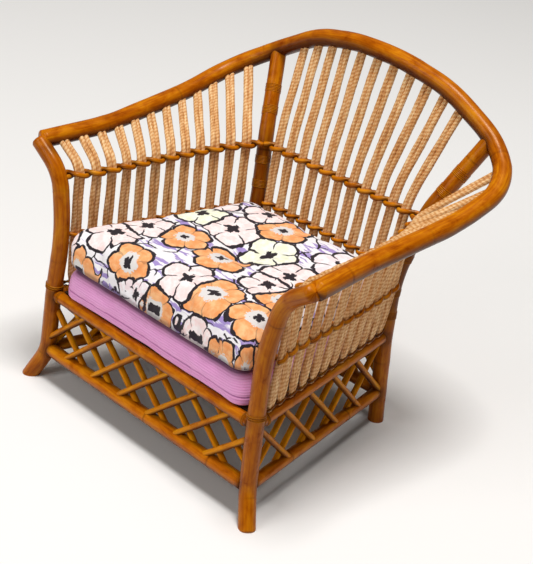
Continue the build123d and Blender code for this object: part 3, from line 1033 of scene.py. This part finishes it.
def seat_pins(V):
    P = V / (0.001 * S12)
    r = np.hypot(P[:, 0] - TUFT[0], P[:, 1] - TUFT[1])
    top, low = P[:, 2] > 33.0, P[:, 2] < 28.6
    V1 = V.copy()
    dip = np.exp(-(r / 2.4) ** 2)
    V1[:, 2] -= np.where(top, 1.15 * dip, 0) * 0.001 * S12
    w = np.where(top, np.exp(-(r / 1.1) ** 4), 0)
    w = np.maximum(w, np.where(low, 1.0, 0))     # the underside lies flat on the base cushion
    return w, V1


o = slab_object("seat_cushion_cover", **SEAT)
V0, V = inflate(o, 0.0085, 9.0, 0.021, seat_pins, shrink=-0.06)
me = o.data
P = V / (0.001 * S12)
# creases that run out from the tuft, and slack in the cover
r = np.hypot(P[:, 0] - TUFT[0], P[:, 1] - TUFT[1])
a = np.arctan2(P[:, 1] - TUFT[1], P[:, 0] - TUFT[0])
top = smooth01((P[:, 2] - 32.4) / 1.6)
fold = np.cos(7 * a + 0.7 + 0.25 * np.sin(3 * a)) * 0.6 + np.cos(11 * a + 2.1) * 0.4
P[:, 2] += top * 0.30 * fold * np.exp(-((r - 3.2) / 3.6) ** 2)
P[:, 2] += top * 0.16 * value_noise(P, 0.45, 5, 2)
me2 = me
set_co(me2, P * 0.001)
me2.update()
nrm = np.empty(len(P) * 3, np.float32)
me2.vertices.foreach_get("normal", nrm)
nrm = nrm.reshape(-1, 3).astype(float)
P = P + nrm * (0.07 * value_noise(P, 0.9, 9, 2))[:, None]
P[:, 2] = np.maximum(P[:, 2], 27.72)
# the print lies on the cloth: down the sides it carries on from the top
nh = np.hypot(nrm[:, 0], nrm[:, 1])
drop = np.clip(34.6 - P[:, 2], 0, None) * smooth01(nh / 0.8)
pr = np.column_stack([P[:, 0] + nrm[:, 0] / np.maximum(nh, 1e-6) * drop,
                      P[:, 1] + nrm[:, 1] / np.maximum(nh, 1e-6) * drop, np.zeros(len(P))])
set_co(me2, (P + arr(0, YS, 0)) * 0.001)
at_ = me2.attributes.new("print", "FLOAT_VECTOR", "POINT")
at_.data.foreach_set("vector", pr.astype(np.float32).ravel())
# painted shadow: the edge attribute darkens the seat cushion's lower edge, where it sits on the base cushion
at_ = me2.attributes.new("edge", "FLOAT", "POINT")
at_.data.foreach_set("value", (0.8 * smooth01((29.5 - P[:, 2]) / 1.3) * smooth01((P[:, 2] - 27.85) / 0.35)).astype(np.float32))
me2.polygons.foreach_set("use_smooth", np.ones(len(me2.polygons), bool))
o.data.materials.clear()
sub = o.modifiers.new("s", "SUBSURF")
sub.levels = sub.render_levels = 1
me3 = evaluated(o)
o.modifiers.clear()
o.data = me3
seat = o


def print_material():
    g = G("printed_cotton_floral")
    p = g.attr("print")
    warp = g.noise(g.vec("SCALE", p, s=0.36), 1.0, 2, 0.5, out="Color")
    p2 = g.vec("ADD", p, g.vec("SCALE", g.vec("SUBTRACT", warp, (0.5, 0.5, 0.5)), s=1.6))
    rough_edge = g.noise(g.vec("SCALE", p, s=1.7), 1.0, 2, 0.6, out="Color")
    p2 = g.vec("ADD", p2, g.vec("SCALE", g.vec("SUBTRACT", rough_edge, (0.5, 0.5, 0.5)), s=0.32))
    q = g.vec("ADD", g.vec("SCALE", p2, s=1 / 10.2), (21.10, 2.12, 0.0))
    vo = g.voronoi(q, 1.0, "F1", 0.72, "2D")
    ve = g.voronoi(q, 1.0, "DISTANCE_TO_EDGE", 0.72, "2D")
    d = g.vec("SUBTRACT", q, vo.outputs["Position"])
    dx, dy, _ = g.xyz(d)
    sep = g.t.nodes.new("ShaderNodeSeparateColor")
    g.put(sep.inputs[0], vo.outputs["Color"])
    kind, spin, big = sep.outputs[0], sep.outputs[1], sep.outputs[2]
    r = g.math("SQRT", g.math("ADD", g.math("MULTIPLY", dx, dx), g.math("MULTIPLY", dy, dy)))
    ang = g.math("ADD", g.math("ARCTAN2", dy, dx), g.math("MULTIPLY", spin, 6.283))
    lobe = g.math("ABSOLUTE", g.math("COSINE", g.math("MULTIPLY", ang, 2.5)))
    lob = g.math("POWER", lobe, 0.55)
    R0 = g.math("MULTIPLY_ADD", big, 0.12, 0.50)
    rp = g.math("MULTIPLY", R0, g.math("MULTIPLY_ADD", lob, 0.27, 0.73))
    dd = g.math("MAXIMUM", g.math("SUBTRACT", r, rp), g.math("SUBTRACT", 0.0, ve.outputs["Distance"]))
    wn = g.noise(g.vec("SCALE", p, s=0.8), 1.0, 1, 0.5)
    w = g.math("MULTIPLY_ADD", wn, 0.046, 0.010)
    inside = g.span(dd, 0.004, -0.004)
    line = g.span(g.math("ABSOLUTE", dd), g.math("ADD", w, 0.008), w)
    # notches: short lines between petals
    notch = g.math("MULTIPLY", g.span(lobe, 0.16, 0.08),
                   g.span(r, g.math("MULTIPLY", R0, 0.34), g.math("MULTIPLY", R0, 0.46)))
    notch = g.math("MULTIPLY", notch, inside)
    wash = g.noise(g.vec("SCALE", p, s=0.55), 1.0, 3, 0.6)
    peach = g.mix(g.span(wash, 0.35, 0.7), lin(244, 158, 92), lin(254, 196, 140))
    pink = g.mix(g.span(wash, 0.38, 0.62), lin(250, 222, 220), lin(252, 242, 242))
    cream = g.mix(g.span(wash, 0.38, 0.62), lin(240, 244, 214), lin(250, 250, 240))
    lil = g.mix(g.span(wash, 0.40, 0.60), lin(250, 246, 250), lin(246, 226, 230))
    fill = g.mix(g.span(kind, 0.385, 0.395), peach, pink)
    fill = g.mix(g.span(kind, 0.705, 0.715), fill, cream)
    fill = g.mix(g.span(kind, 0.845, 0.855), fill, lil)
    # the ground: white, brushed with lilac, with loose dark drawing
    px, py, _ = g.xyz(p2)
    st = g.noise(g.join(g.math("MULTIPLY", px, 0.20), g.math("MULTIPLY", py, 0.85), 3.3), 1.0, 2, 0.5)
    ground = g.mix(g.span(st, 0.51, 0.59), lin(246, 243, 247), lin(164, 144, 206))
    ve2 = g.voronoi(g.vec("ADD", g.vec("SCALE", p2, s=1 / 5.3), (9.1, 4.4, 0.0)), 1.0, "DISTANCE_TO_EDGE", 0.9, "2D")
    some = g.noise(g.vec("SCALE", p, s=0.21), 1.0, 1, 0.5)
    loose = g.math("MULTIPLY", g.span(ve2.outputs["Distance"], 0.045, 0.030), g.span(some, 0.47, 0.50))
    ink = lin(30, 22, 30)
    ground = g.mix(loose, ground, ink)
    col = g.mix(inside, ground, fill)
    # the centres
    cn = g.noise(g.vec("SCALE", p, s=1.6), 1.0, 2, 0.6)
    rc = g.math("DIVIDE", g.math("MULTIPLY", r, g.math("MULTIPLY_ADD", cn, 1.1, 0.45)), R0)
    is_peach = g.span(kind, 0.395, 0.385)
    eye = g.span(rc, 0.40, 0.35)
    col = g.mix(g.math("MULTIPLY", eye, is_peach), col, lin(226, 222, 220))
    star = g.math("MULTIPLY_ADD", g.math("ABSOLUTE", g.math("COSINE", g.math("MULTIPLY", ang, 2.0))), 0.14, 0.15)
    pip = g.span(g.math("SUBTRACT", rc, g.math("MULTIPLY", star, g.math("MULTIPLY_ADD", is_peach, -0.35, 1.0))), 0.02, -0.01)
    col = g.mix(g.math("MULTIPLY", pip, inside), col, ink)
    col = g.mix(g.math("MULTIPLY", notch, g.span(kind, 0.385, 0.395, 0.35, 1.0)), col, ink)
    col = g.mix(line, col, ink)
    # plain weave
    wx = g.math("SINE", g.math("MULTIPLY", g.xyz(p)[0], 2 * math.pi / 0.24))
    wy = g.math("SINE", g.math("MULTIPLY", g.xyz(p)[1], 2 * math.pi / 0.24))
    weave = g.math("MULTIPLY", wx, wy)
    fuzz = g.noise(g.vec("SCALE", p, s=5.0), 1.0, 3, 0.7)
    h = g.math("ADD", g.math("MULTIPLY", weave, 0.5), fuzz)
    col = g.mix(g.math("MULTIPLY_ADD", weave, 0.03, 0.03), col, lin(150, 140, 150))
    # painted shadow along the lower edge, from the edge attribute
    col = g.mix(g.attr("edge", "Fac"), col, lin(52, 26, 54))
    g.set(Base_Color=col, Roughness=0.82, Sheen_Weight=0.15, Sheen_Roughness=0.4, Specular_IOR_Level=0.25,
          Normal=g.bump(h, 0.35, 0.00005))
    return g.m


seat.data.materials.append(print_material())
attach(seat, "seat_cushion")
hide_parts("seat_cushion")

# ---- base cushion: simulated block, then a fine ribbed cover over it
BASE = dict(dims=(26.75, -23.0, 18.75, 20.45), z0=20.85, z1=27.4, rc=3.2, low=0.8, high=2.2)
o = slab_object("base_block", **BASE)
V0, V = inflate(o, 0.0085, 1.2, 0.0045, None, shrink=-0.01)
P0, D = V0 / (0.001 * S12), (V - V0) / (0.001 * S12)
bpy.data.objects.remove(o)
kd = KDTree(len(P0))
for k2, p in enumerate(P0):
    kd.insert(p, k2)
kd.balance()
# profile from underneath, out round the side and in over the top, as (inset, height, length along it)
e0, e1 = 0.8, 2.1
bz0, bz1 = BASE["z0"], BASE["z1"]
prof = [(6.0, bz0), (2.5, bz0), (1.2, bz0)]
prof += [(e0 * (1 - math.sin(a)), bz0 + e0 * (1 - math.cos(a))) for a in np.linspace(0, math.pi / 2, 10)]
side_h = np.arange(bz0 + e0 + 0.08, bz1 - e1 - 0.04, 0.08)
prof += [(0.0, z) for z in side_h]
prof += [(e1 * (1 - math.cos(a)) * 1.0, bz1 - e1 + e1 * math.sin(a)) for a in np.linspace(0, math.pi / 2, 34)]
prof += [(e1 + d, bz1) for d in np.arange(0.1, 3.0, 0.12)] + [(6.5, bz1), (9.0, bz1)]
rows, lens = [], [0.0]
for k2, (ins, z) in enumerate(prof):
    fh, fy, rh, ry = BASE["dims"]
    draw = 1.5 * smooth01((z - bz0 - 1.5) / (bz1 - bz0))      # the ends lean in as they rise
    out2 = trapezoid(fh - draw, fy, rh - draw, ry, BASE["rc"], ins, n_side=84, n_corner=12)
    rows.append(np.column_stack([out2, np.full(len(out2), z)]))
    if k2:
        lens.append(lens[-1] + math.hypot(ins - prof[k2 - 1][0], z - prof[k2 - 1][1]))
R = np.array(rows)
m2, n2 = R.shape[:2]
flat = R.reshape(-1, 3)
disp = np.zeros_like(flat)
for k2, p in enumerate(flat):
    found = kd.find_n(p, 5)
    w = np.array([1 / (f2[2] + 0.15) for f2 in found])
    disp[k2] = (D[[f2[1] for f2 in found]] * w[:, None]).sum(0) / w.sum()
R = (flat + disp).reshape(m2, n2, 3)
du = np.roll(R, -1, 1) - np.roll(R, 1, 1)
dv = np.gradient(R, axis=0)
nn = np.cross(du, dv)
nn /= np.maximum(np.linalg.norm(nn, axis=2), 1e-9)[..., None]
lens = np.array(lens)
q0 = lens[3]
q = lens - q0                      # from the lower edge of the side, up and over
side_len = (bz1 - bz0)
rib = 0.030 * np.cos(2 * math.pi * q / 0.50)
rib *= smooth01(q / 0.5) * smooth01((lens[-1] - 2.5 - lens) / 2.0)
zc = 2.35
crease = -0.20 * np.exp(-((q - zc) / 0.15) ** 2) - 0.07 * np.exp(-((q - zc + 0.75) / 0.12) ** 2)
fl = R.reshape(-1, 3)
soft = 0.10 * value_noise(fl, 0.22, 31, 2) + 0.035 * value_noise(fl, 0.9, 32, 2)
mask_side = smooth01(q / 0.4)[:, None]
R = R + nn * ((rib + crease)[:, None] + soft.reshape(m2, n2) * mask_side)[..., None]
R[..., 2] = np.clip(R[..., 2], 20.78, 27.66)
b = Build()
grain = np.zeros((m2, n2, 3))
per = np.concatenate([[0], np.cumsum(np.linalg.norm(np.diff(R[20], axis=0), axis=1))])
grain[..., 0] = per[None, :]
grain[..., 1] = q[:, None]
# a narrow dark band runs round the top edge, just beneath the upper cushion's overhang: painted shadow
grain[..., 2] = (0.85 * smooth01((q - 5.9) / 1.0) * smooth01((8.7 - q) / 1.0))[:, None]
# the tone darkens the rib grooves and the crease: painted shade
b.grid(R, grain, np.clip(0.42 - 5.0 * rib - 3.4 * crease, 0, 1)[:, None] * np.ones((m2, n2)))
g = G("ribbed_ribbon_lilac")
gr = g.attr("grain")
tone = g.attr("tone", "Fac")
thread = g.noise(g.vec("MULTIPLY", gr, (9.0, 1.5, 1.0)), 1.0, 3, 0.6)
patch = g.noise(g.vec("MULTIPLY", gr, (0.25, 0.5, 1.0)), 1.0, 2, 0.5)
col = g.ramp(g.math("ADD", g.math("MULTIPLY", tone, 0.75), g.math("MULTIPLY", thread, 0.3)),
             [(0.30, lin(238, 168, 220)), (0.60, lin(224, 148, 204)), (1.0, lin(160, 84, 146))])
col = g.mix(g.span(patch, 0.4, 0.7, 0.0, 0.18), col, lin(240, 184, 226))
# painted shadow band round the top edge, carried in grain z
col = g.mix(g.xyz(gr)[2], col, lin(58, 16, 52))
g.set(Base_Color=col, Roughness=0.52, Sheen_Weight=0.35, Sheen_Roughness=0.35, Specular_IOR_Level=0.4,
      Normal=g.bump(thread, 0.35, 0.00005))
base = b.make("base_cushion_cover", g.m, body="base_cushion", nodes=["base_cushion"])

# ------------------------------------------------------------------- the stage
g = G("pale_floor")
g.set(Base_Color=(0.90, 0.895, 0.89, 1), Roughness=0.75, Specular_IOR_Level=0.2)
me = bpy.data.meshes.new("floor")
me.from_pydata([(-4, -4, 0), (4, -4, 0), (4, 4, 0), (-4, 4, 0)], [], [(0, 1, 2, 3)])
floor = bpy.data.objects.new("floor", me)
me.materials.append(g.m)
bpy.context.scene.collection.objects.link(floor)

world = bpy.data.worlds.new("studio")
bpy.context.scene.world = world
world.use_nodes = True
bg = world.node_tree.nodes["Background"]
bg.inputs[0].default_value = (1.0, 0.96, 0.89, 1)
bg.inputs[1].default_value = 0.115


def area(name, at, look, size, power, colour=(1, 1, 1)):
    d = bpy.data.lights.new(name, "AREA")
    d.shape = "DISK"
    d.size = size
    d.energy = power
    d.color = colour
    o = bpy.data.objects.new(name, d)
    o.location = at
    o.rotation_euler = (Vector(look) - Vector(at)).to_track_quat("-Z", "Y").to_euler()
    bpy.context.scene.collection.objects.link(o)
    return o


area("key_overhead", (0.11, -0.03, 0.88), (0, 0, 0.03), 0.30, 6.9, (1.0, 0.985, 0.965))
area("fill_front", (-0.08, -0.52, 0.36), (0, 0, 0.035), 0.38, 1.15, (1.0, 0.985, 0.96))

# ------------------------------------------------------------------ the camera
F2 = Vector((-0.60045314, 0.65992176, -0.45161853))
R2 = Vector((0.69575834, 0.70953092, 0.11174169))
U2 = Vector((-0.39417809, 0.24712171, 0.88518614))
cam = bpy.data.cameras.new("camera")
cam.sensor_width = 36
cam.lens = 36 / 2 / 0.193
cam.clip_start, cam.clip_end = 0.005, 20
co = bpy.data.objects.new("camera", cam)
co.matrix_world = Matrix(((R2.x, U2.x, -F2.x, 0.17676), (R2.y, U2.y, -F2.y, -0.19114),
                          (R2.z, U2.z, -F2.z, 0.15957), (0, 0, 0, 1)))
bpy.context.scene.collection.objects.link(co)
bpy.context.scene.camera = co
vs = bpy.context.scene.view_settings
vs.view_transform = "Standard"
vs.look = "None"
vs.exposure = 0.0
